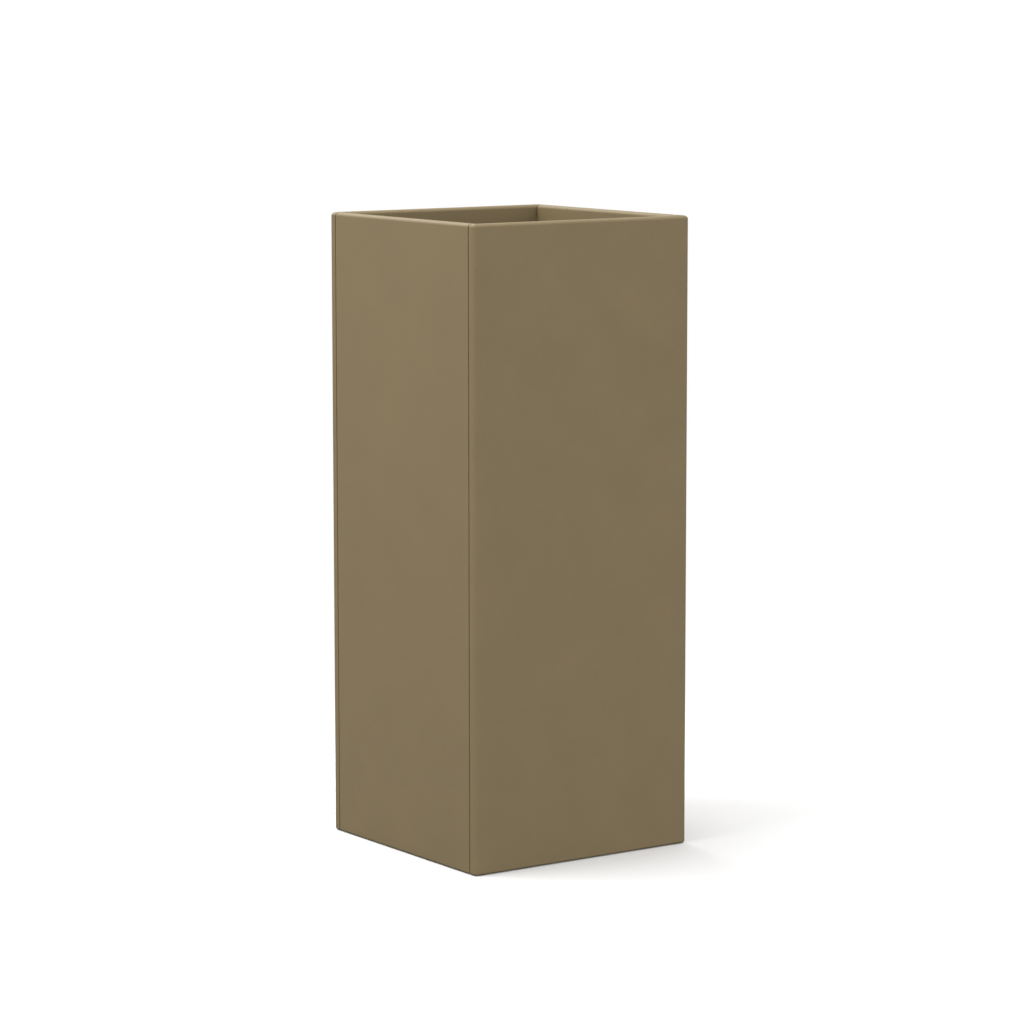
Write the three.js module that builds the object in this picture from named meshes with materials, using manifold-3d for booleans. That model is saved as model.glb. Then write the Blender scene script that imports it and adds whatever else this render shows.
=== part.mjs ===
// Tall square planter: four fibreglass wall boards bonded round a raised floor panel.
//
// Millimetres, +Z up. The origin is on the ground under the middle of the planter.
// The front board faces -Y. The side boards sit between the front and back boards, so
// the joint grooves show on the -X and +X faces, close to the upright corners.

import * as THREE from 'three';
import { mergeVertices } from 'three/addons/utils/BufferGeometryUtils.js';
import Module from 'manifold-3d';

// Whole planter
const PLANTER_HEIGHT = 812.8; // 32 in, ground to rim
const PLANTER_WIDTH = 330.2; // 13 in, across the front
const PLANTER_DEPTH = 330.2; // 13 in, front to back

// Wall boards
const WALL_THICKNESS = 12.7; // 1/2 in
const WALL_BOTTOM_RADIUS = 2.2; // eased lower edges
const WALL_GROUND_GAP = 1; // the feet keep the walls this far off the ground
const RIM_SHOULDER_RADIUS = 3.5; // each side of the rim, below its flatter crown
const RIM_SHOULDER_TURN = (50 * Math.PI) / 180; // from the upright face to the crown
const CORNER_RADIUS = 4.8; // round upright corners, 3/16 in
const JOINT_STEP = 0.6; // rebate round each board end: two of them make a joint groove
const JOINT_DEPTH = 2;

// Bonded and seated faces lie this far apart, the thickness of the adhesive
const BOND_GAP = 0.3;

// Floor panel and its drain hole
const FLOOR_THICKNESS = 12.7;
const FLOOR_EDGE_CHAMFER = 1;
const DRAIN_HOLE_RADIUS = 12.7; // 1 in hole

// Battens under the floor panel
const CLEAT_HEIGHT = 19;
const CLEAT_EDGE_CHAMFER = 0.8;

// Angle strips inside the upright corners
const ANGLE_LEG = 30;
const ANGLE_THICKNESS = 3;
const ANGLE_ROOT_RADIUS = 3;
const ANGLE_HEEL_CHAMFER = 1.2;
const ANGLE_END_CHAMFER = 0.4;
const ANGLE_RIM_DROP = 60; // from the rim down to the strip's upper end

// Rubber feet
const FOOT_RADIUS = 13;
const FOOT_HEIGHT = 8;
const FOOT_MARGIN = 2; // batten showing round a foot
const FOOT_EDGE_CHAMFER = 1;

// Foot screws
const SCREW_HEAD_RADIUS = 4;
const SCREW_HEAD_HEIGHT = 2.4;
const SCREW_SHANK_RADIUS = 2;
const SCREW_POINT_LENGTH = 3;
const SCREW_BITE = 13; // length inside the batten
const SCREW_SINK = 1.6; // from the ground up to the head

// Drain plug
const PLUG_STEM_CLEARANCE = 0.3;
const PLUG_STEM_TAPER = 1.2; // on the radius
const PLUG_TIP_OVERHANG = 3; // below the floor panel
const PLUG_FLANGE_OVERLAP = 6.3; // beyond the hole
const PLUG_FLANGE_THICKNESS = 4;
const PLUG_NECK_RADIUS = 4;
const PLUG_NECK_HEIGHT = 6;
const PLUG_KNOB_RADIUS = 8;
const PLUG_KNOB_HEIGHT = 6;
const PLUG_EDGE_RADIUS = 1.2;

// Facets of the round edges
const QUARTER_TURN_STEPS = 8;
const SMALL_EDGE_STEPS = 4;

const halfThickness = WALL_THICKNESS / 2;
const wallHeight = PLANTER_HEIGHT - WALL_GROUND_GAP;
const wallCentreX = PLANTER_WIDTH / 2 - halfThickness;
const wallCentreY = PLANTER_DEPTH / 2 - halfThickness;

// Space between the walls, less the adhesive
const insideHalfWidth = PLANTER_WIDTH / 2 - WALL_THICKNESS - BOND_GAP;
const insideHalfDepth = PLANTER_DEPTH / 2 - WALL_THICKNESS - BOND_GAP;

const cleatWidth = 2 * (FOOT_RADIUS + FOOT_MARGIN);
const cleatCentreX = insideHalfWidth - cleatWidth / 2;
const cleatCentreY = insideHalfDepth - cleatWidth / 2;
const cleatBottom = FOOT_HEIGHT + BOND_GAP;
const floorBottom = cleatBottom + CLEAT_HEIGHT + BOND_GAP;
const floorTop = floorBottom + FLOOR_THICKNESS;

const { Manifold, Mesh: ManifoldMesh } = await loadManifold();

async function loadManifold() {
  const library = await Module();
  library.setup();
  return library;
}

// A closed geometry as a solid that can be joined and cut.
function toSolid(geometry) {
  const bare = geometry.clone();
  bare.deleteAttribute('normal');
  bare.deleteAttribute('uv');
  const merged = mergeVertices(bare);
  const corners = merged.index.array;
  const triangles = [];
  for (let i = 0; i < corners.length; i += 3) {
    const [a, b, c] = corners.slice(i, i + 3);
    if (a !== b && b !== c && c !== a) triangles.push(a, b, c);
  }
  return new Manifold(new ManifoldMesh({
    numProp: 3,
    vertProperties: new Float32Array(merged.attributes.position.array),
    triVerts: new Uint32Array(triangles),
  }));
}

function toGeometry(solid) {
  const mesh = solid.getMesh();
  const geometry = new THREE.BufferGeometry();
  geometry.setAttribute('position', new THREE.BufferAttribute(mesh.vertProperties, 3));
  geometry.setIndex(new THREE.BufferAttribute(mesh.triVerts, 1));
  geometry.computeVertexNormals();
  return geometry;
}

function drilled(geometry, bores) {
  return toGeometry(bores.map(toSolid).reduce((whole, bore) => whole.subtract(bore), toSolid(geometry)));
}

// Points of a circular arc, both ends included.
function arc(centreX, centreY, radius, startAngle, endAngle, steps) {
  const points = [];
  for (let i = 0; i <= steps; i += 1) {
    const angle = startAngle + ((endAngle - startAngle) * i) / steps;
    const x = centreX + radius * Math.cos(angle);
    const y = centreY + radius * Math.sin(angle);
    points.push(new THREE.Vector2(x, y));
  }
  return points;
}

// A profile of [radius, height] points turned round the +Z axis.
function turned(profile, segments) {
  const points = profile.map(([radius, height]) => new THREE.Vector2(radius, height));
  return new THREE.LatheGeometry(points, segments).rotateX(Math.PI / 2);
}

// A flat outline raised along +Z from zero, with all its end edges chamfered inwards.
function raised(outline, height, chamfer) {
  return new THREE.ExtrudeGeometry(outline, {
    depth: height - 2 * chamfer,
    bevelEnabled: chamfer > 0,
    bevelThickness: chamfer,
    bevelSize: chamfer,
    bevelOffset: -chamfer,
    bevelSegments: 1,
    curveSegments: QUARTER_TURN_STEPS * 2,
  }).translate(0, 0, chamfer);
}

// A wall board's upright cross-section as [distance outwards from its middle, height], from
// its bottom edge up the outside, over the rim and down the inside, drawn in by inset.
function wallSection(inset) {
  const footing = halfThickness - WALL_BOTTOM_RADIUS;
  const shoulderReach = halfThickness - RIM_SHOULDER_RADIUS;
  const crownRadius = RIM_SHOULDER_RADIUS + shoulderReach / Math.cos(RIM_SHOULDER_TURN);
  const crownCentre = wallHeight - crownRadius;
  const shoulderCentre = crownCentre + shoulderReach * Math.tan(RIM_SHOULDER_TURN);
  const rounding = (x, y, radius, from, to, steps) => arc(x, y, radius - inset, from, to, steps);
  const outer = [
    ...rounding(footing, WALL_BOTTOM_RADIUS, WALL_BOTTOM_RADIUS, -Math.PI / 2, 0, SMALL_EDGE_STEPS),
    ...rounding(shoulderReach, shoulderCentre, RIM_SHOULDER_RADIUS, 0, RIM_SHOULDER_TURN, SMALL_EDGE_STEPS),
    ...rounding(0, crownCentre, crownRadius, RIM_SHOULDER_TURN, Math.PI / 2, QUARTER_TURN_STEPS)
      .slice(1, -1),
  ];
  const crest = new THREE.Vector2(0, wallHeight - inset);
  const inner = outer.toReversed().map(({ x, y }) => new THREE.Vector2(-x, y));
  return [...outer, crest, ...inner];
}

// The cross-section at one point of a board's middle line. mitre leads outwards along the
// corner's mitre and outward along its rounding; on a straight stretch they are the same.
function station(x, y, mitre, outward, inset) {
  const core = halfThickness - CORNER_RADIUS;
  return wallSection(inset).map(({ x: reach, y: height }) => {
    const square = Math.min(reach, core);
    const round = Math.max(reach - core, 0);
    return new THREE.Vector3(
      x + mitre.x * square + outward.x * round,
      y + mitre.y * square + outward.y * round,
      height,
    );
  });
}

// A closed solid through cross-sections that have the same number of points.
function lofted(sections) {
  const count = sections[0].length;
  const faces = [];
  for (let i = 1; i < count - 1; i += 1) {
    const last = (sections.length - 1) * count;
    faces.push(0, i, i + 1, last, last + i + 1, last + i);
  }
  for (let first = 0; first < (sections.length - 1) * count; first += count) {
    for (let i = 0; i < count; i += 1) {
      const here = first + i;
      const beside = first + ((i + 1) % count);
      faces.push(here, here + count, beside, beside, here + count, beside + count);
    }
  }
  const geometry = new THREE.BufferGeometry().setFromPoints(sections.flat());
  geometry.setIndex(faces);
  return toGeometry(toSolid(geometry));
}

const WEST = new THREE.Vector2(-1, 0);
const EAST = new THREE.Vector2(1, 0);
const SOUTH = new THREE.Vector2(0, -1);

// The stations round one upright corner, from one wall's outward direction to the next.
function cornerStations(x, from, to) {
  const mitre = from.clone().add(to);
  return Array.from({ length: QUARTER_TURN_STEPS + 1 }, (_, i) => {
    const turn = (i / QUARTER_TURN_STEPS) * (Math.PI / 2);
    const outward = from.clone().multiplyScalar(Math.cos(turn)).addScaledVector(to, Math.sin(turn));
    return station(x, 0, mitre, outward, 0);
  });
}

// The stepped end of a board, from its end face at endY to its full section.
function jointStations(x, endY, inwards, outward) {
  const stepY = endY + inwards * JOINT_STEP;
  return [
    station(x, endY, outward, outward, JOINT_DEPTH),
    station(x, stepY, outward, outward, JOINT_DEPTH),
    station(x, stepY, outward, outward, 0),
  ];
}

// Front or back board. Its ends carry the corners round as far as the joint with the
// side boards, so the rim turns the corner in this board.
function fullWidthBoard() {
  return lofted([
    ...jointStations(-wallCentreX, halfThickness, -1, WEST),
    ...cornerStations(-wallCentreX, WEST, SOUTH),
    ...cornerStations(wallCentreX, SOUTH, EAST),
    ...jointStations(wallCentreX, halfThickness, -1, EAST).toReversed(),
  ]);
}

// Side board, butted between the front and back boards.
function sideBoard() {
  const halfLength = PLANTER_DEPTH / 2 - WALL_THICKNESS - BOND_GAP;
  return lofted([
    ...jointStations(0, halfLength, -1, WEST),
    ...jointStations(0, -halfLength, 1, WEST).toReversed(),
  ]);
}

function rectangle(width, depth) {
  const x = width / 2;
  const y = depth / 2;
  return new THREE.Shape([[-x, -y], [x, -y], [x, y], [-x, y]].map(([u, v]) => new THREE.Vector2(u, v)));
}

function floorPanel() {
  const outline = rectangle(2 * insideHalfWidth, 2 * insideHalfDepth);
  outline.holes.push(new THREE.Path().absarc(0, 0, DRAIN_HOLE_RADIUS, 0, 2 * Math.PI, true));
  return raised(outline, FLOOR_THICKNESS, FLOOR_EDGE_CHAMFER);
}

// Angle strip with its heel at the origin and its legs along +X and +Y.
function cornerAngle() {
  const root = ANGLE_THICKNESS + ANGLE_ROOT_RADIUS;
  const outline = new THREE.Shape([
    new THREE.Vector2(ANGLE_HEEL_CHAMFER, 0),
    new THREE.Vector2(ANGLE_LEG, 0),
    new THREE.Vector2(ANGLE_LEG, ANGLE_THICKNESS),
    ...arc(root, root, ANGLE_ROOT_RADIUS, 1.5 * Math.PI, Math.PI, SMALL_EDGE_STEPS),
    new THREE.Vector2(ANGLE_THICKNESS, ANGLE_LEG),
    new THREE.Vector2(0, ANGLE_LEG),
    new THREE.Vector2(0, ANGLE_HEEL_CHAMFER),
  ]);
  const bottom = floorTop + BOND_GAP;
  const top = PLANTER_HEIGHT - ANGLE_RIM_DROP;
  return raised(outline, top - bottom, ANGLE_END_CHAMFER);
}

function cleatBar(length, width) {
  return raised(rectangle(length, width), CLEAT_HEIGHT, CLEAT_EDGE_CHAMFER);
}

// Front or back batten, along X, with a blind pilot hole for each foot screw.
function drilledCleat() {
  const pilotDepth = SCREW_BITE + BOND_GAP;
  const pilotRadius = SCREW_SHANK_RADIUS + BOND_GAP;
  const pilotStart = -CLEAT_EDGE_CHAMFER; // starts below the batten, to cut its face cleanly
  const pilots = [-cleatCentreX, cleatCentreX].map((x) => turned([
    [0, pilotStart],
    [pilotRadius, pilotStart],
    [pilotRadius, pilotDepth],
    [0, pilotDepth],
  ], 2 * QUARTER_TURN_STEPS).translate(x, 0, 0));
  return drilled(cleatBar(2 * insideHalfWidth, cleatWidth), pilots);
}

function sideCleat() {
  const length = 2 * (insideHalfDepth - cleatWidth - BOND_GAP);
  return cleatBar(length, cleatWidth).rotateZ(Math.PI / 2);
}

// Foot with a recess under it that hides the screw head.
function foot() {
  const boreRadius = SCREW_SHANK_RADIUS + BOND_GAP;
  const recessRadius = SCREW_HEAD_RADIUS + BOND_GAP;
  const recessDepth = SCREW_SINK + SCREW_HEAD_HEIGHT + BOND_GAP;
  return turned([
    [recessRadius, 0],
    [FOOT_RADIUS - FOOT_EDGE_CHAMFER, 0],
    [FOOT_RADIUS, FOOT_EDGE_CHAMFER],
    [FOOT_RADIUS, FOOT_HEIGHT - FOOT_EDGE_CHAMFER],
    [FOOT_RADIUS - FOOT_EDGE_CHAMFER, FOOT_HEIGHT],
    [boreRadius, FOOT_HEIGHT],
    [boreRadius, recessDepth],
    [recessRadius, recessDepth],
    [recessRadius, 0],
  ], 4 * QUARTER_TURN_STEPS);
}

// Pan-head screw, pointing up, with the face of its head at zero.
function footScrew() {
  const length = cleatBottom + SCREW_BITE - SCREW_SINK;
  const headEdge = SCREW_HEAD_HEIGHT / 3;
  return turned([
    [0, 0],
    [SCREW_HEAD_RADIUS - headEdge, 0],
    [SCREW_HEAD_RADIUS, headEdge],
    [SCREW_HEAD_RADIUS, SCREW_HEAD_HEIGHT],
    [SCREW_SHANK_RADIUS, SCREW_HEAD_HEIGHT],
    [SCREW_SHANK_RADIUS, length - SCREW_POINT_LENGTH],
    [0, length],
  ], 2 * QUARTER_TURN_STEPS);
}

// Tapered stopper with a sealing flange and a knob to pull it by. Zero is its tip.
function drainPlug() {
  const stemRadius = DRAIN_HOLE_RADIUS - PLUG_STEM_CLEARANCE;
  const flangeRadius = DRAIN_HOLE_RADIUS + PLUG_FLANGE_OVERLAP;
  const flangeBottom = PLUG_TIP_OVERHANG + FLOOR_THICKNESS + BOND_GAP;
  const flangeTop = flangeBottom + PLUG_FLANGE_THICKNESS;
  const knobBottom = flangeTop + PLUG_NECK_HEIGHT;
  const knobTop = knobBottom + PLUG_KNOB_HEIGHT;
  const roundedTop = (radius, top) => arc(
    radius - PLUG_EDGE_RADIUS, top - PLUG_EDGE_RADIUS, PLUG_EDGE_RADIUS, 0, Math.PI / 2, SMALL_EDGE_STEPS,
  ).map((point) => point.toArray());
  return turned([
    [0, 0],
    [stemRadius - PLUG_STEM_TAPER - PLUG_EDGE_RADIUS, 0],
    [stemRadius - PLUG_STEM_TAPER, PLUG_EDGE_RADIUS],
    [stemRadius, flangeBottom],
    [flangeRadius, flangeBottom],
    ...roundedTop(flangeRadius, flangeTop),
    [PLUG_NECK_RADIUS, flangeTop],
    [PLUG_NECK_RADIUS, knobBottom],
    [PLUG_KNOB_RADIUS - PLUG_EDGE_RADIUS, knobBottom],
    [PLUG_KNOB_RADIUS, knobBottom + PLUG_EDGE_RADIUS],
    ...roundedTop(PLUG_KNOB_RADIUS, knobTop),
    [0, knobTop],
  ], 4 * QUARTER_TURN_STEPS);
}

// Finishes, one material for each piece
const finish = (color, roughness, metalness = 0) => () => (
  new THREE.MeshStandardMaterial({ color, roughness, metalness })
);
const paintedFibreglass = finish(0x786644, 0.6);
const rawFibreglass = finish(0xb4aa86, 0.55);
const blackRubber = finish(0x1d1d1e, 0.85);
const zincSteel = finish(0xb6b9bc, 0.35, 1);

const planter = new THREE.Group();

function place(name, geometry, material, x, y, z, quarterTurns = 0) {
  const mesh = new THREE.Mesh(geometry, material);
  mesh.name = name;
  mesh.position.set(x, y, z);
  mesh.rotation.z = (quarterTurns * Math.PI) / 2;
  planter.add(mesh);
}

place('front_panel', fullWidthBoard(), paintedFibreglass(), 0, -wallCentreY, WALL_GROUND_GAP);
place('back_panel', fullWidthBoard(), paintedFibreglass(), 0, wallCentreY, WALL_GROUND_GAP, 2);
place('left_panel', sideBoard(), paintedFibreglass(), -wallCentreX, 0, WALL_GROUND_GAP);
place('right_panel', sideBoard(), paintedFibreglass(), wallCentreX, 0, WALL_GROUND_GAP, 2);

place('base_panel', floorPanel(), paintedFibreglass(), 0, 0, floorBottom);
place('front_cleat', drilledCleat(), rawFibreglass(), 0, -cleatCentreY, cleatBottom);
place('back_cleat', drilledCleat(), rawFibreglass(), 0, cleatCentreY, cleatBottom, 2);
place('left_cleat', sideCleat(), rawFibreglass(), -cleatCentreX, 0, cleatBottom);
place('right_cleat', sideCleat(), rawFibreglass(), cleatCentreX, 0, cleatBottom, 2);

// Each upright corner has an angle strip, a foot and a foot screw. turns faces the
// strip's legs away from the corner.
const corners = [
  { name: 'front_left', sideX: -1, sideY: -1, turns: 0 },
  { name: 'front_right', sideX: 1, sideY: -1, turns: 1 },
  { name: 'back_right', sideX: 1, sideY: 1, turns: 2 },
  { name: 'back_left', sideX: -1, sideY: 1, turns: 3 },
];
for (const { name, sideX, sideY, turns } of corners) {
  const heelX = sideX * insideHalfWidth;
  const heelY = sideY * insideHalfDepth;
  const footX = sideX * cleatCentreX;
  const footY = sideY * cleatCentreY;
  place(`corner_angle_${name}`, cornerAngle(), paintedFibreglass(), heelX, heelY, floorTop + BOND_GAP, turns);
  place(`foot_${name}`, foot(), blackRubber(), footX, footY, 0);
  place(`foot_screw_${name}`, footScrew(), zincSteel(), footX, footY, SCREW_SINK);
}

place('drain_plug', drainPlug(), blackRubber(), 0, 0, floorBottom - PLUG_TIP_OVERHANG);

export default planter;
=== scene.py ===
"""Tall square planter of bonded fibreglass boards, standing in a white studio."""
import math

import bmesh
import bpy
from mathutils import Matrix, Vector


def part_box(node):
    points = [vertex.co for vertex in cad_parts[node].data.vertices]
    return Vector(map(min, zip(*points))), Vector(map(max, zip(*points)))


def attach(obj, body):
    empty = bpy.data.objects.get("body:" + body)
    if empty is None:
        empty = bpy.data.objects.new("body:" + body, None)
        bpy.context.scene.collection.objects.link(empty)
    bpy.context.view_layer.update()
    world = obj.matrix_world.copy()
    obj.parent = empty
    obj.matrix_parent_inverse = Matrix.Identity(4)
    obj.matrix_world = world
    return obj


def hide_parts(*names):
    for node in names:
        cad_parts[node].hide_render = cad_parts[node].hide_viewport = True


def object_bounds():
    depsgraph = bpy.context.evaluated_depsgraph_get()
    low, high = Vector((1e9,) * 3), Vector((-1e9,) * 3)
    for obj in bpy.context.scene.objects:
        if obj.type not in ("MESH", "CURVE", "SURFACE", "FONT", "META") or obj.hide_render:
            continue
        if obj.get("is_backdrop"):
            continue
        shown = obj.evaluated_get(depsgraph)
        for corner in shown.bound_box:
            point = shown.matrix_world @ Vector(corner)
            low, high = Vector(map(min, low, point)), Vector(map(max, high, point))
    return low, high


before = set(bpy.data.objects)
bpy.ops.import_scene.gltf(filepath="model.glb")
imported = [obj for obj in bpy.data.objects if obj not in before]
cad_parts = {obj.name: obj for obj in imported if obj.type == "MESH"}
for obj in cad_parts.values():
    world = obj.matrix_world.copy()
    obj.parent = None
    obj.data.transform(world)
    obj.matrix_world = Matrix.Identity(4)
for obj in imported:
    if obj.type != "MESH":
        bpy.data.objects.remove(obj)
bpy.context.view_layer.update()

MM = 0.001


# ---- Wall boards -----------------------------------------------------------------------
# Four half-inch glass-fibre boards, moulded flat, with a softly crowned top edge and an
# eased bottom edge. The front and back boards run the full width and carry the round
# upright corners. The side boards are butted between them, each end stepped for the groove.

front_low, front_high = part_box("front_panel")
side_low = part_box("left_panel")[0]
BOARD = front_high.y - front_low.y
HALF_BOARD = BOARD / 2
BOARD_BOTTOM = front_low.z
RIM = front_high.z
CREST_X = front_high.x - HALF_BOARD
CREST_Y = -front_low.y - HALF_BOARD
FRONT_JOINT = front_high.y
SIDE_JOINT = side_low.y
BOTTOM_EASE = 2.2 * MM
SHOULDER_EASE = 3.5 * MM
SHOULDER_TURN = 50
CORNER_EASE = 4.8 * MM
CORNER_CORE = HALF_BOARD - CORNER_EASE
JOINT_STEP = 0.6 * MM
JOINT_DEPTH = 2.0 * MM
JOINT_ARRIS = 0.3 * MM
SUPPORT = 0.5 * MM
RIM_STEPS = 8
BOTTOM_STEPS = 6
CORNER_STEPS = 14
ARRIS_STEPS = 4


def arc_samples(centre_u, centre_v, radius, start, end, steps):
    """Points (u, v) of an arc with their outward normals (nu, nv), both ends included."""
    samples = []
    for step in range(steps + 1):
        angle = math.radians(start + (end - start) * step / steps)
        nu, nv = math.cos(angle), math.sin(angle)
        samples.append((centre_u + radius * nu, centre_v + radius * nv, nu, nv))
    return samples


def board_section():
    """The board's upright section, from the middle of its bottom edge round and back."""
    turn = math.radians(SHOULDER_TURN)
    crown = SHOULDER_EASE + (HALF_BOARD - SHOULDER_EASE) / math.cos(turn)
    shoulder = RIM - crown + (HALF_BOARD - SHOULDER_EASE) * math.tan(turn)
    footing = HALF_BOARD - BOTTOM_EASE
    instep = BOARD_BOTTOM + BOTTOM_EASE
    outer = [(0.0, BOARD_BOTTOM, 0.0, -1.0)]
    outer += arc_samples(footing, instep, BOTTOM_EASE, -90, 0, BOTTOM_STEPS)
    outer += [(HALF_BOARD, instep + SUPPORT, 1.0, 0.0), (HALF_BOARD, shoulder - SUPPORT, 1.0, 0.0)]
    outer += arc_samples(HALF_BOARD - SHOULDER_EASE, shoulder, SHOULDER_EASE, 0, SHOULDER_TURN, RIM_STEPS)
    outer += arc_samples(0.0, RIM - crown, crown, SHOULDER_TURN, 90, RIM_STEPS)[1:]
    inner = [(-u, v, -nu, nv) for u, v, nu, nv in reversed(outer[1:-1])]
    return outer + inner


def arris_stations(arris, steps=ARRIS_STEPS):
    """Stations of an eased end: how far along each lies, and how far it is drawn in."""
    stations = []
    for step in range(steps + 1):
        angle = math.radians(90 * step / steps)
        stations.append((arris * (1 - math.cos(angle)), arris * (1 - math.sin(angle))))
    return stations + [(arris + SUPPORT, 0.0)]


def joint_stations():
    """Stations of a board end, stepped back for the joint groove and eased above the step."""
    step = [(0.0, JOINT_DEPTH), (JOINT_STEP, JOINT_DEPTH)]
    return step + [(JOINT_STEP + along, drawn_in) for along, drawn_in in arris_stations(JOINT_ARRIS)]


def ring(section, crest, outward, inward, drawn_in=0.0, mitre=None):
    """The board's section at one point of its crest line, as a ring of points."""
    points = []
    for u, v, nu, nv in section:
        u -= nu * drawn_in
        v -= nv * drawn_in
        if u < 0:
            side = inward * -u
        else:
            side = (mitre or outward) * min(u, CORNER_CORE) + outward * max(u - CORNER_CORE, 0.0)
        points.append(Vector((crest.x + side.x, crest.y + side.y, v)))
    return points


def skin(mesh, rings):
    """Adds the faces between neighbouring rings of points, and returns their corners."""
    corners = [[mesh.verts.new(point) for point in points] for points in rings]
    count = len(rings[0])
    for here, there in zip(corners, corners[1:]):
        for i in range(count):
            j = (i + 1) % count
            mesh.faces.new((here[i], here[j], there[j], there[i]))
    return corners


def finished(name, mesh, crease=40):
    """Turns a bmesh into a shown object, smooth but for edges sharper than the crease."""
    bmesh.ops.remove_doubles(mesh, verts=mesh.verts, dist=1e-7)
    bmesh.ops.dissolve_degenerate(mesh, edges=mesh.edges, dist=1e-8)
    bmesh.ops.recalc_face_normals(mesh, faces=mesh.faces)
    data = bpy.data.meshes.new(name)
    mesh.to_mesh(data)
    mesh.free()
    data.shade_smooth()
    data.set_sharp_from_angle(angle=math.radians(crease))
    made = bpy.data.objects.new(name, data)
    bpy.context.collection.objects.link(made)
    return made


def board(name, rings):
    """A closed board through its rings, capped at both ends."""
    mesh = bmesh.new()
    corners = skin(mesh, rings)
    mesh.faces.new(corners[0])
    mesh.faces.new(corners[-1])
    return finished(name, mesh)


def full_width_board(name, facing):
    """Front (facing -1) or back (facing 1) board, with both round upright corners."""
    section = board_section()
    ahead = Vector((0, facing))
    rings = []
    for side in (-1, 1):
        corner = Vector((side * CREST_X, facing * CREST_Y))
        outward = Vector((side, 0))
        mitre = outward + ahead
        half = []
        for along, drawn_in in joint_stations():
            crest = Vector((corner.x, facing * (along - FRONT_JOINT)))
            inward = -outward - ahead * max(along - JOINT_STEP, 0.0) / HALF_BOARD
            half.append(ring(section, crest, outward, inward, drawn_in))
        for step in range(CORNER_STEPS + 1):
            angle = math.radians(90 * step / CORNER_STEPS)
            way = outward * math.cos(angle) + ahead * math.sin(angle)
            half.append(ring(section, corner, way, -mitre, mitre=mitre))
        half.append(ring(section, corner - outward * SUPPORT, ahead, -mitre))
        rings += half if side < 0 else reversed(half)
    return board(name, rings)


def side_board(name, side):
    """Left (side -1) or right (side 1) board between the joints."""
    section = board_section()
    outward = Vector((side, 0))
    stations = [(SIDE_JOINT + along, drawn_in) for along, drawn_in in joint_stations()]
    stations += [(-y, drawn_in) for y, drawn_in in reversed(stations)]
    return board(name, [
        ring(section, Vector((side * CREST_X, y)), outward, -outward, drawn_in)
        for y, drawn_in in stations
    ])


class Wire:
    """A socket of a material. Arithmetic on it adds Math nodes, node() adds any other."""

    def __init__(self, tree, socket=None):
        self.tree = tree
        self.socket = socket

    def feed(self, target, value):
        if isinstance(value, Wire):
            self.tree.links.new(value.socket, target)
        else:
            target.default_value = value

    def node(self, kind, settings=None, inputs=None, output=0):
        made = self.tree.nodes.new(kind)
        for key, value in (settings or {}).items():
            setattr(made, key, value)
        for key, value in (inputs or {}).items():
            self.feed(made.inputs[key], value)
        return Wire(self.tree, made.outputs[output])

    def other(self, output):
        """Another output of the same node."""
        return Wire(self.tree, self.socket.node.outputs[output])

    def math(self, operation, first, second=0.0):
        return self.node("ShaderNodeMath", {"operation": operation}, {0: first, 1: second})

    def __add__(self, other):
        return self.math("ADD", self, other)

    def __radd__(self, other):
        return self.math("ADD", other, self)

    def __sub__(self, other):
        return self.math("SUBTRACT", self, other)

    def __rsub__(self, other):
        return self.math("SUBTRACT", other, self)

    def __mul__(self, other):
        return self.math("MULTIPLY", self, other)

    def __rmul__(self, other):
        return self.math("MULTIPLY", other, self)

    def __abs__(self):
        return self.math("ABSOLUTE", self)


def new_finish(name):
    """A new material, and the wire that carries places on the piece, in metres."""
    material = bpy.data.materials.new(name)
    material.use_nodes = True
    place = Wire(material.node_tree).node("ShaderNodeTexCoord", output="Object")
    return material, place


def wear(material, **looks):
    """Sets or feeds the sockets of the material's own shader, by name."""
    shader = material.node_tree.nodes["Principled BSDF"]
    for name, value in looks.items():
        Wire(material.node_tree).feed(shader.inputs[name.replace("_", " ")], value)


def noise(place, per_metre, detail=2.0, roughness=0.5):
    values = {"Vector": place, "Scale": per_metre, "Detail": detail, "Roughness": roughness}
    return place.node("ShaderNodeTexNoise", None, values)


def stretched(place, scale):
    """Places scaled unevenly, which draws a pattern out along the axis scaled least."""
    return place.node("ShaderNodeMapping", None, {"Vector": place, "Scale": scale})


def swung(place, turn):
    """Places turned by that many radians about X, Y and Z."""
    return place.node("ShaderNodeMapping", None, {"Vector": place, "Rotation": turn})


def ramp(value, low, high):
    """0 below low, 1 above high, and straight between."""
    return value.node("ShaderNodeMapRange", {"clamp": True}, {0: value, 1: low, 2: high})


def tint(amount, first, second):
    return amount.node("ShaderNodeMix", {"data_type": "RGBA"}, {0: amount, 6: first, 7: second}, output=2)


def relief(height, depth):
    """The bump of that height, whose full swing is depth metres."""
    return height.node("ShaderNodeBump", None, {"Strength": 1.0, "Distance": depth, "Height": height})


def shade(colour, lightness=1.0):
    return tuple(channel * lightness for channel in colour) + (1.0,)


STRAND_TURNS = ((0.0, 0.46, -0.47), (0.0, 2.53, -0.93), (0.0, 1.24, 0.41))
STRAND_SCALE = (1.0, 9.0, 9.0)


def glass_mat(place, per_metre=45.0):
    """Chopped glass strands that lie every way, from three layers turned about Y and Z."""
    first, second, third = (
        noise(stretched(swung(place, turn), STRAND_SCALE), per_metre, 3.0, 0.6)
        for turn in STRAND_TURNS
    )
    return place.math("MAXIMUM", place.math("MAXIMUM", first, second), third)


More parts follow.
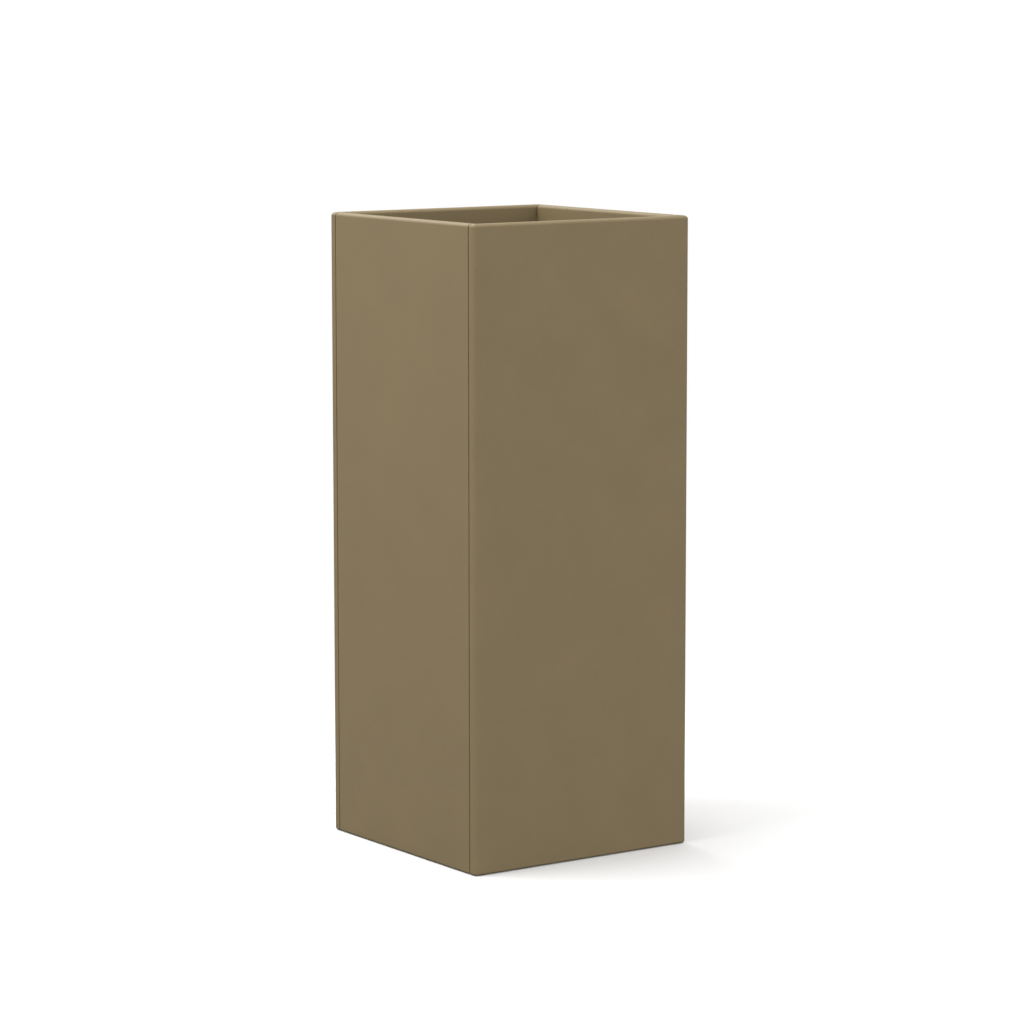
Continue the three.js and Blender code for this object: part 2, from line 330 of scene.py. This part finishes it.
# Matt sand-olive paint, sprayed over the filled boards: soft mottling a hand wide, a fine
# grain, and the faint orange peel of spray. Inside, below a smooth band at the rim, the
# glass mat shows through the paint, and under the floor the boards are left unpainted.
SAND_OLIVE = (0.199, 0.151, 0.079)
LAMINATE = (0.40, 0.345, 0.20)
INSIDE_X = CREST_X - HALF_BOARD
INSIDE_Y = CREST_Y - HALF_BOARD
PAINT_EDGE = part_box("base_panel")[0].z
SMOOTH_BAND = 60 * MM
FEATHER = 0.4 * MM

board_paint, place = new_finish("sand_olive_paint")
across = place.node("ShaderNodeSeparateXYZ", None, {"Vector": place}, output="X")
deep, high = across.other("Y"), across.other("Z")
inside = 1 - ramp(abs(across), INSIDE_X, INSIDE_X + FEATHER)
inside = inside * (1 - ramp(abs(deep), INSIDE_Y, INSIDE_Y + FEATHER))
unpainted = inside * (1 - ramp(high, PAINT_EDGE, PAINT_EDGE + FEATHER))
matted = inside * (1 - ramp(high, RIM - 2 * SMOOTH_BAND, RIM - SMOOTH_BAND))
grain = noise(place, 1100.0, 2.0, 0.6)
strands = glass_mat(place)
tone = 0.5 + (noise(place, 16.0, 3.0, 0.55) - 0.5) * 0.9 + (grain - 0.5) * 1.3
speck = ramp(noise(place, 420.0, 1.0), 0.66, 0.74)
paint = tint(tone, shade(SAND_OLIVE, 0.93), shade(SAND_OLIVE, 1.07))
paint = tint(speck * 0.25, paint, shade(SAND_OLIVE, 0.8))
glass = tint(ramp(strands, 0.5, 0.75), shade(LAMINATE, 0.75), shade(LAMINATE, 1.15))
peel = noise(place, 260.0, 2.0)
wear(
    board_paint,
    Base_Color=tint(unpainted, paint, glass),
    Roughness=0.56 + (grain - 0.5) * 0.16 - unpainted * 0.12,
    Specular_IOR_Level=0.25,
    Normal=relief(peel * 0.3 + grain * 0.15 + strands * matted * 2.2, 0.12 * MM),
)

for made in (
    full_width_board("front_board", -1),
    full_width_board("back_board", 1),
    side_board("left_board", -1),
    side_board("right_board", 1),
):
    made.data.materials.append(board_paint)
    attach(made, "planter")
    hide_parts(made.name.replace("board", "panel"))


# ---- Battens ---------------------------------------------------------------------------
# Four pultruded bars of unpainted glass fibre, bonded round the foot of the walls to carry
# the floor panel. The strands run along each bar. The front and back bars run right
# across and have a blind pilot hole for each foot screw.

BATTEN_ARRIS = 0.8 * MM
BATTEN_CORNER = 1.5 * MM
PILOT_RADIUS = 2.3 * MM
PILOT_DEPTH = 13.3 * MM


def turned(way, angle):
    return Vector((
        way.x * math.cos(angle) - way.y * math.sin(angle),
        way.x * math.sin(angle) + way.y * math.cos(angle),
    ))


def rounded(corners, radii, steps=5, closed=True, support=SUPPORT):
    """An anticlockwise polygon with rounded corners: each point and its outward normal."""
    corners = [Vector(corner) for corner in corners]
    points = []
    for i, (corner, radius) in enumerate(zip(corners, radii)):
        before = (corner - corners[i - 1]).normalized()
        after = (corners[(i + 1) % len(corners)] - corner).normalized()
        first, last = Vector((before.y, -before.x)), Vector((after.y, -after.x))
        if not closed and i in (0, len(corners) - 1):
            points.append((corner, first if i else last))
            continue
        turn = math.atan2(before.x * after.y - before.y * after.x, before.dot(after))
        bulge = math.copysign(radius, turn)
        run = radius * math.tan(abs(turn) / 2)
        centre = corner - before * run - first * bulge
        if support:
            points.append((corner - before * (run + support), first))
        for step in range(steps + 1):
            normal = turned(first, turn * step / steps)
            points.append((centre + normal * bulge, normal))
        if support:
            points.append((corner + after * (run + support), last))
    return points


def rectangle(low, high, radius):
    corners = ((low.x, low.y), (high.x, low.y), (high.x, high.y), (low.x, high.y))
    return rounded(corners, (radius,) * 4)


def hole(centre, radius, steps=48):
    """A round hole's points, with normals that point into the hole."""
    ways = [turned(Vector((1, 0)), 2 * math.pi * step / steps) for step in range(steps)]
    return [(Vector(centre) + way * radius, -way) for way in ways]


def level(loop, height, drawn_in=0.0):
    """A loop's points at that height, each drawn in along its normal."""
    return [Vector((*(point - normal * drawn_in), height)) for point, normal in loop]


def fill(mesh, loops):
    """Closes a flat face between its outline and the holes in it."""
    edges = [mesh.edges.get(pair) for loop in loops for pair in zip(loop, loop[1:] + loop[:1])]
    bmesh.ops.triangle_fill(mesh, use_beauty=True, edges=edges)


def plate(name, outline, low, high, arris, through=(), pockets=()):
    """A flat piece with that outline, through holes, blind pockets below, and eased edges."""
    mesh = bmesh.new()
    stations = [(low, arris + SUPPORT)]
    stations += [(low + along, drawn_in) for along, drawn_in in arris_stations(arris)]
    stations += [(low + high - z, drawn_in) for z, drawn_in in reversed(stations)]
    undersides, tops = [], []
    for loop in (outline, *through):
        corners = skin(mesh, [level(loop, z, drawn_in) for z, drawn_in in stations])
        undersides.append(corners[0])
        tops.append(corners[-1])
    for loop, depth in pockets:
        corners = skin(mesh, [level(loop, low), level(loop, low + depth)])
        undersides.append(corners[0])
        mesh.faces.new(corners[-1])
    fill(mesh, undersides)
    fill(mesh, tops)
    return finished(name, mesh)


def pultruded(name, strand_scale):
    """Unpainted laminate whose strands run along the axis with the smallest scale."""
    material, place = new_finish(name)
    strand = noise(stretched(place, strand_scale), 900.0, 3.0, 0.6)
    band = noise(stretched(place, strand_scale), 160.0, 2.0)
    cloud = noise(place, 22.0, 2.0)
    body = tint(ramp(strand * 0.6 + band * 0.4, 0.35, 0.65), shade(LAMINATE, 0.8), shade(LAMINATE, 1.12))
    wear(
        material,
        Base_Color=tint(ramp(cloud, 0.45, 0.75) * 0.35, body, shade((0.36, 0.33, 0.23))),
        Roughness=0.4 + strand * 0.2,
        Normal=relief(strand * 0.5 + band * 0.5, 0.08 * MM),
    )
    return material


strands_across = pultruded("pultruded_laminate_across", (0.03, 1.0, 1.0))
strands_deep = pultruded("pultruded_laminate_deep", (1.0, 0.03, 1.0))

for side in ("front", "back", "left", "right"):
    low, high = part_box(side + "_cleat")
    pilots = []
    if side in ("front", "back"):
        for foot in ("foot_%s_left" % side, "foot_%s_right" % side):
            foot_low, foot_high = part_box(foot)
            pilots.append((hole(((foot_low + foot_high) / 2).xy, PILOT_RADIUS, 24), PILOT_DEPTH))
    outline = rectangle(low, high, BATTEN_CORNER)
    batten = plate(side + "_batten", outline, low.z, high.z, BATTEN_ARRIS, pockets=pilots)
    batten.data.materials.append(strands_across if pilots else strands_deep)
    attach(batten, "planter")
    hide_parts(side + "_cleat")


# ---- Floor panel -----------------------------------------------------------------------
# A board of the same stock, bedded on the battens and painted with the walls from above.
# It has one round drain hole in the middle.

FLOOR_ARRIS = 1.0 * MM
FLOOR_CORNER = 2.0 * MM
DRAIN_RADIUS = 12.7 * MM

low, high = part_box("base_panel")
floor_panel = plate(
    "floor_panel", rectangle(low, high, FLOOR_CORNER), low.z, high.z, FLOOR_ARRIS,
    through=[hole((0, 0), DRAIN_RADIUS, 72)],
)
floor_panel.data.materials.append(board_paint)
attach(floor_panel, "planter")
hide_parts("base_panel")


# ---- Angle strips ----------------------------------------------------------------------
# Pultruded angle, one length in each upright corner from the floor panel to a little
# below the rim, bonded across the joint of the boards and painted with them.

ANGLE = 3.0 * MM
ANGLE_ROOT = 3.0 * MM
ANGLE_HEEL = 1.3 * MM
ANGLE_TOE = 0.95 * MM
ANGLE_ARRIS = 0.4 * MM


def four_corners_tree():
    """Copies a piece to the corners of a rectangle, each a quarter turn on from the last."""
    tree = bpy.data.node_groups.new("four_corners", "GeometryNodeTree")
    tree.interface.new_socket("Geometry", in_out="INPUT", socket_type="NodeSocketGeometry")
    for name, kind in (
        ("Width", "NodeSocketFloat"), ("Depth", "NodeSocketFloat"), ("Looseness", "NodeSocketFloat"),
        ("Seed", "NodeSocketInt"), ("Finish", "NodeSocketMaterial"),
    ):
        tree.interface.new_socket(name, in_out="INPUT", socket_type=kind)
    tree.interface.new_socket("Geometry", in_out="OUTPUT", socket_type="NodeSocketGeometry")
    wire = Wire(tree)
    piece = wire.node("NodeGroupInput", output="Geometry")
    corners = wire.node("GeometryNodeMeshGrid", None, {
        "Size X": piece.other("Width"), "Size Y": piece.other("Depth"), "Vertices X": 2, "Vertices Y": 2,
    })
    place = wire.node("GeometryNodeInputPosition")
    across = wire.node("ShaderNodeSeparateXYZ", None, {"Vector": place}, output="X")
    deep = across.other("Y")
    quarter = wire.math("ARCTAN2", wire.math("SIGN", deep), wire.math("SIGN", across))
    loose = wire.node(
        "FunctionNodeRandomValue", {"data_type": "FLOAT"},
        {"Seed": piece.other("Seed")}, output=1,
    )
    spin = quarter + 0.75 * math.pi + (loose - 0.5) * piece.other("Looseness")
    euler = wire.node("ShaderNodeCombineXYZ", None, {"Z": spin})
    turn = wire.node("FunctionNodeEulerToRotation", None, {"Euler": euler})
    copies = wire.node("GeometryNodeInstanceOnPoints", None, {
        "Points": corners, "Instance": piece, "Rotation": turn,
    })
    real = wire.node("GeometryNodeRealizeInstances", None, {"Geometry": copies})
    dressed = wire.node("GeometryNodeSetMaterial", None, {
        "Geometry": real, "Material": piece.other("Finish"),
    })
    tree.links.new(dressed.socket, tree.nodes.new("NodeGroupOutput").inputs["Geometry"])
    return tree


corner_tree = four_corners_tree()


def at_four_corners(name, piece, width, depth, finish, looseness=0.0, seed=0):
    """One plain mesh of four copies. The piece is made as the front left one, at zero."""
    modifier = piece.modifiers.new("four_corners", "NODES")
    modifier.node_group = corner_tree
    values = {"Width": width, "Depth": depth, "Looseness": looseness, "Seed": seed, "Finish": finish}
    for item in corner_tree.interface.items_tree:
        if item.in_out == "INPUT" and item.name in values:
            modifier[item.identifier] = values[item.name]
    evaluated = piece.evaluated_get(bpy.context.evaluated_depsgraph_get())
    data = bpy.data.meshes.new_from_object(evaluated)
    data.name = name
    piece.modifiers.remove(modifier)
    bpy.data.objects.remove(piece)
    made = bpy.data.objects.new(name, data)
    bpy.context.collection.objects.link(made)
    return made


def corner_nodes(stem):
    return ["%s_%s_%s" % (stem, end, side) for end in ("front", "back") for side in ("left", "right")]


low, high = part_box("corner_angle_front_left")
LEG = high.x - low.x
angle_outline = rounded(
    ((0, 0), (LEG, 0), (LEG, ANGLE), (ANGLE, ANGLE), (ANGLE, LEG), (0, LEG)),
    (ANGLE_HEEL, ANGLE_TOE, ANGLE_TOE, ANGLE_ROOT, ANGLE_TOE, ANGLE_TOE),
)
strip = plate("angle_strip", angle_outline, low.z, high.z, ANGLE_ARRIS)
strips = at_four_corners("angle_strips", strip, -2 * low.x, -2 * low.y, board_paint)
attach(strips, "planter")
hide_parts(*corner_nodes("corner_angle"))


# ---- Rubber feet -----------------------------------------------------------------------
# A moulded black rubber foot under each end of the front and back battens. Its sole has
# two grip grooves, and a recess in it hides the head of the screw that holds it.

FOOT_RADIUS = 13.0 * MM
FOOT_BORE = 2.3 * MM
FOOT_RECESS_RADIUS = 4.3 * MM
FOOT_RECESS_DEPTH = 4.3 * MM
FOOT_EDGE = 1.2 * MM
GRIP_WIDTH = 0.9 * MM
GRIP_DEPTH = 0.6 * MM
GRIP_RADII = (7.0 * MM, 9.6 * MM)


def lathe(name, profile, steps=64, closed=False, crease=40):
    """A profile of (radius, height) points turned round the upright axis."""
    mesh = bmesh.new()
    loop = profile + profile[:1] if closed else profile
    angles = [2 * math.pi * step / steps for step in range(steps)]
    skin(mesh, [
        [Vector((*turned(Vector((point.x, 0)), angle), point.y)) for angle in angles]
        for point, normal in loop
    ])
    return finished(name, mesh, crease)


BLACK_RUBBER = (0.011, 0.011, 0.012)
RUBBER_BLOOM = (0.026, 0.026, 0.025)


def moulded_rubber(name):
    """Matt black rubber: a fine mould grain, with a faint bloom of dust in soft random patches."""
    material, place = new_finish(name)
    mould = noise(place, 1500.0, 3.0, 0.6)
    bloom = noise(place, 70.0, 3.0, 0.6)
    wear(
        material,
        Base_Color=tint(ramp(bloom, 0.4, 0.75) * 0.5, shade(BLACK_RUBBER), shade(RUBBER_BLOOM)),
        Roughness=0.72 + (mould - 0.5) * 0.2 + (bloom - 0.5) * 0.12,
        Normal=relief(mould, 0.05 * MM),
    )
    return material


rubber = moulded_rubber("black_rubber")
low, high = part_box("foot_front_left")
FOOT_HEIGHT = high.z - low.z
foot_corners = [(FOOT_RECESS_RADIUS, 0)]
foot_radii = [0.3 * MM]
for middle in GRIP_RADII:
    inner, outer = middle - GRIP_WIDTH / 2, middle + GRIP_WIDTH / 2
    foot_corners += [(inner, 0), (inner, GRIP_DEPTH), (outer, GRIP_DEPTH), (outer, 0)]
    foot_radii += [0.15 * MM, 0.2 * MM, 0.2 * MM, 0.15 * MM]
foot_corners += [
    (FOOT_RADIUS, 0), (FOOT_RADIUS, FOOT_HEIGHT), (FOOT_BORE, FOOT_HEIGHT),
    (FOOT_BORE, FOOT_RECESS_DEPTH), (FOOT_RECESS_RADIUS, FOOT_RECESS_DEPTH),
]
foot_radii += [FOOT_EDGE, FOOT_EDGE, 0.3 * MM, 0.3 * MM, 0.3 * MM]
foot = lathe("foot", rounded(foot_corners, foot_radii, support=0), closed=True)
centre = (low + high) / 2
feet = at_four_corners("rubber_feet", foot, -2 * centre.x, -2 * centre.y, rubber)
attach(feet, "planter")
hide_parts(*corner_nodes("foot"))


# ---- Foot screws -----------------------------------------------------------------------
# Zinc-plated pan-head wood screws with a cross recess, driven up through the feet into
# the pilot holes of the battens. No two stop at the same turn.

screw_low, screw_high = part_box("foot_screw_front_left")
SCREW_LENGTH = screw_high.z - screw_low.z
HEAD_RADIUS = 4.0 * MM
HEAD_HEIGHT = 2.4 * MM
HEAD_EDGE = 1.0 * MM
CREST_RADIUS = 2.0 * MM
ROOT_RADIUS = 1.35 * MM
THREAD_PITCH = 1.6 * MM
THREAD_START = 5.5 * MM
POINT_LENGTH = 4.0 * MM
RECESS_HALF_WIDTH = 0.5 * MM
RECESS_HALF_LENGTH = 2.1 * MM
RECESS_DEPTH = 1.3 * MM
RECESS_TAPER = 0.22 * MM
SCREW_FACETS = 48
THREAD_ROWS = 76


def cross_outline():
    """The cross recess at the face of the head, its arms rounded at their tips."""
    w, reach = RECESS_HALF_WIDTH, RECESS_HALF_LENGTH
    corners = (
        (w, -reach), (w, -w), (reach, -w), (reach, w), (w, w), (w, reach),
        (-w, reach), (-w, w), (-reach, w), (-reach, -w), (-w, -w), (-w, -reach),
    )
    tip, root = 0.25 * MM, 0.35 * MM
    return rounded(corners, (tip, root, tip) * 4, steps=4, support=0)


def shank_radius(angle, height):
    """Radius of the threaded shank: a thin crest winds up it and fades into the point."""
    body = min(1.0, (SCREW_LENGTH - height) / POINT_LENGTH) ** 0.7
    winding = (height / THREAD_PITCH - angle / (2 * math.pi)) % 1.0
    crest = max(0.0, 1 - abs(winding - 0.5) / 0.24)
    plain = 1 - min(1.0, max(0.0, (height - THREAD_START) / THREAD_PITCH))
    lift = max(crest, plain) * (CREST_RADIUS - ROOT_RADIUS)
    return (ROOT_RADIUS + lift) * body


def screw(name):
    """A screw that points up, with the face of its head at zero."""
    mesh = bmesh.new()
    ways = [turned(Vector((1, 0)), 2 * math.pi * step / SCREW_FACETS) for step in range(SCREW_FACETS)]
    outline = [(way, way) for way in ways]

    def round_ring(radius, height):
        return [Vector((*(way * radius), height)) for way, _ in outline]

    head = arc_samples(HEAD_RADIUS - HEAD_EDGE, HEAD_EDGE, HEAD_EDGE, -90, 0, 5)
    rings = [round_ring(radius, height) for radius, height, _, _ in head]
    rings += [
        round_ring(HEAD_RADIUS, HEAD_HEIGHT - 0.15 * MM),
        round_ring(HEAD_RADIUS - 0.15 * MM, HEAD_HEIGHT),
        round_ring(CREST_RADIUS + 0.4 * MM, HEAD_HEIGHT),
        round_ring(CREST_RADIUS, HEAD_HEIGHT + 0.01 * MM),
    ]
    height = THREAD_START - 0.4 * MM
    for row in range(THREAD_ROWS + 1):
        z = height + (SCREW_LENGTH - height) * row / THREAD_ROWS
        rings.append([
            Vector((*(way * shank_radius(2 * math.pi * i / SCREW_FACETS, z)), z))
            for i, way in enumerate(ways)
        ])
    corners = skin(mesh, rings)
    recess = cross_outline()
    walls = skin(mesh, [level(recess, 0), level(recess, RECESS_DEPTH, RECESS_TAPER)])
    fill(mesh, [corners[0], walls[0]])
    fill(mesh, [walls[-1]])
    return finished(name, mesh, crease=35)


def zinc_plate(name):
    """Bright zinc plating with fine turning marks round the head and dull patches."""
    material, place = new_finish(name)
    haze = noise(place, 400.0, 3.0, 0.6)
    marks = noise(stretched(place, (1.0, 1.0, 5.0)), 2500.0, 2.0)
    wear(
        material,
        Base_Color=tint(haze, shade((0.42, 0.44, 0.46)), shade((0.56, 0.57, 0.56))),
        Roughness=0.26 + haze * 0.18,
        Metallic=1.0,
        Normal=relief(marks, 0.01 * MM),
    )
    return material


centre = (screw_low + screw_high) / 2
foot_screw = screw("foot_screw")
foot_screw.data.transform(Matrix.Translation((0, 0, screw_low.z)))
screws = at_four_corners(
    "foot_screws", foot_screw, -2 * centre.x, -2 * centre.y, zinc_plate("zinc_plate"),
    looseness=math.pi / 2, seed=7,
)
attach(screws, "planter")
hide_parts(*corner_nodes("foot_screw"))


# ---- Drain plug ------------------------------------------------------------------------
# A moulded rubber stopper pressed into the drain hole from above: a tapered stem with two
# sealing grooves, a flange that seats on the floor panel, and a knob to pull it by.

plug_low, plug_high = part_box("drain_plug")
STEM_RADIUS = 12.4 * MM
STEM_TAPER = 1.2 * MM
FLANGE_UNDERSIDE = 16.0 * MM
FLANGE = 4.0 * MM
FLANGE_RADIUS = plug_high.x
NECK_RADIUS = 4.0 * MM
NECK = 6.0 * MM
KNOB_RADIUS = 8.0 * MM
KNOB_TOP = plug_high.z - plug_low.z
SEAL_DEPTH = 0.5 * MM
SEAL_HALF_WIDTH = 0.6 * MM
SEAL_HEIGHTS = (5.5 * MM, 9.5 * MM)


def stem(height):
    return STEM_RADIUS - STEM_TAPER * (1 - height / FLANGE_UNDERSIDE)


plug_corners = [(0, 0), (stem(0), 0)]
plug_radii = [0, 1.2 * MM]
for middle in SEAL_HEIGHTS:
    under, over = middle - SEAL_HALF_WIDTH, middle + SEAL_HALF_WIDTH
    plug_corners += [(stem(under), under), (stem(under) - SEAL_DEPTH, under + 0.2 * MM)]
    plug_corners += [(stem(over) - SEAL_DEPTH, over - 0.2 * MM), (stem(over), over)]
    plug_radii += [0.15 * MM] * 4
flange_top = FLANGE_UNDERSIDE + FLANGE
knob_underside = flange_top + NECK
plug_corners += [
    (stem(FLANGE_UNDERSIDE), FLANGE_UNDERSIDE), (FLANGE_RADIUS, FLANGE_UNDERSIDE),
    (FLANGE_RADIUS, flange_top), (NECK_RADIUS, flange_top), (NECK_RADIUS, knob_underside),
    (KNOB_RADIUS, knob_underside), (KNOB_RADIUS, KNOB_TOP), (KNOB_RADIUS * 0.55, KNOB_TOP),
    (KNOB_RADIUS * 0.4, KNOB_TOP - 0.5 * MM), (0, KNOB_TOP - 0.5 * MM),
]
plug_radii += [0.15 * MM, 0.4 * MM, 1.4 * MM, 1.5 * MM, 1.0 * MM, 1.2 * MM, 1.6 * MM, 0.8 * MM, 0.8 * MM, 0]
plug = lathe("plug", rounded(plug_corners, plug_radii, closed=False, support=0), steps=96)
plug.data.transform(Matrix.Translation((0, 0, plug_low.z)))
plug.data.materials.append(rubber)
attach(plug, "drain_plug")
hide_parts("drain_plug")


# ---- Studio ----------------------------------------------------------------------------
# A white floor that fades into a white surround. Soft lamps add to its light: one high on
# the left and a little behind, one behind, and low ones on the left, in front and on the
# right. The camera stands off the left front corner, just above the rim.

FLOOR_BOUNCE = 0.15
FLOOR_WHITE = 0.8
FADE_START, FADE_END = 0.55, 1.1
FLOOR_HALF_WIDTH = 30
SURROUND_STRENGTH = 1.07
floor_mesh = bmesh.new()
bmesh.ops.create_grid(floor_mesh, x_segments=1, y_segments=1, size=FLOOR_HALF_WIDTH)
studio_floor = finished("studio_floor", floor_mesh)
white_floor, place = new_finish("white_floor")
seen = place.node("ShaderNodeLightPath", output="Is Camera Ray")
wear(white_floor, Base_Color=tint(seen, shade((FLOOR_BOUNCE,) * 3), shade((FLOOR_WHITE,) * 3)), Roughness=0.9)
shaded = Wire(white_floor.node_tree, white_floor.node_tree.nodes["Principled BSDF"].outputs[0])
plain = place.node("ShaderNodeEmission", None, {"Color": (1, 1, 1, 1), "Strength": 1.0})
distance = place.node("ShaderNodeVectorMath", {"operation": "LENGTH"}, {0: place}, output="Value")
far_off = seen * ramp(distance, FADE_START, FADE_END)
faded = place.node("ShaderNodeMixShader", None, {0: far_off, 1: shaded, 2: plain})
from_below = place.node("ShaderNodeNewGeometry", output="Backfacing")
clear = place.node("ShaderNodeBsdfTransparent")
surface = place.node("ShaderNodeMixShader", None, {0: from_below, 1: faded, 2: clear})
surface.feed(white_floor.node_tree.nodes["Material Output"].inputs["Surface"], surface)
studio_floor.data.materials.append(white_floor)
studio_floor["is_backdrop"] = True

world = bpy.data.worlds.new("white_surround")
bpy.context.scene.world = world
world.use_nodes = True
backdrop = world.node_tree.nodes["Background"]
backdrop.inputs["Color"].default_value = (1, 1, 1, 1)
backdrop.inputs["Strength"].default_value = SURROUND_STRENGTH

LAMP_DISTANCE = 3.5
LAMP_SIZE = 2.0


def soft_box(name, azimuth, elevation, power):
    """A square lamp aimed at the planter. Azimuth 0 is the front, 90 the right."""
    lamp = bpy.data.lights.new(name, "AREA")
    lamp.shape = "SQUARE"
    lamp.size = LAMP_SIZE
    lamp.energy = power
    made = bpy.data.objects.new(name, lamp)
    bpy.context.collection.objects.link(made)
    turn, rise = math.radians(azimuth), math.radians(elevation)
    away = Vector((math.sin(turn) * math.cos(rise), -math.cos(turn) * math.cos(rise), math.sin(rise)))
    made.location = Vector((0, 0, RIM / 2)) + away * LAMP_DISTANCE
    made.rotation_euler = (-away).to_track_quat("-Z", "Y").to_euler()


soft_box("high_left_lamp", -110, 60, 83)
soft_box("low_left_lamp", -90, 8, 13)
soft_box("low_front_lamp", 0, 8, 33)
soft_box("right_lamp", 50, 30, 5.5)
soft_box("back_lamp", 180, 45, 42)

CAMERA_PLACE = Vector((-2.7022, -3.8915, 1.0797))
CAMERA_YAW, CAMERA_PITCH, CAMERA_ROLL = -34.8317, 7.8355, -0.043
SENSOR_WIDTH, LENS = 36, 130.094
camera_data = bpy.data.cameras.new("camera")
camera_data.sensor_width = SENSOR_WIDTH
camera_data.lens = LENS
camera = bpy.data.objects.new("camera", camera_data)
bpy.context.collection.objects.link(camera)
camera.location = CAMERA_PLACE
yaw = Matrix.Rotation(math.radians(CAMERA_YAW), 4, "Z")
pitch = Matrix.Rotation(math.radians(90 - CAMERA_PITCH), 4, "X")
roll = Matrix.Rotation(math.radians(CAMERA_ROLL), 4, "Z")
camera.rotation_euler = (yaw @ pitch @ roll).to_euler()
bpy.context.scene.camera = camera
bpy.context.scene.view_settings.view_transform = "Standard"

low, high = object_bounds()
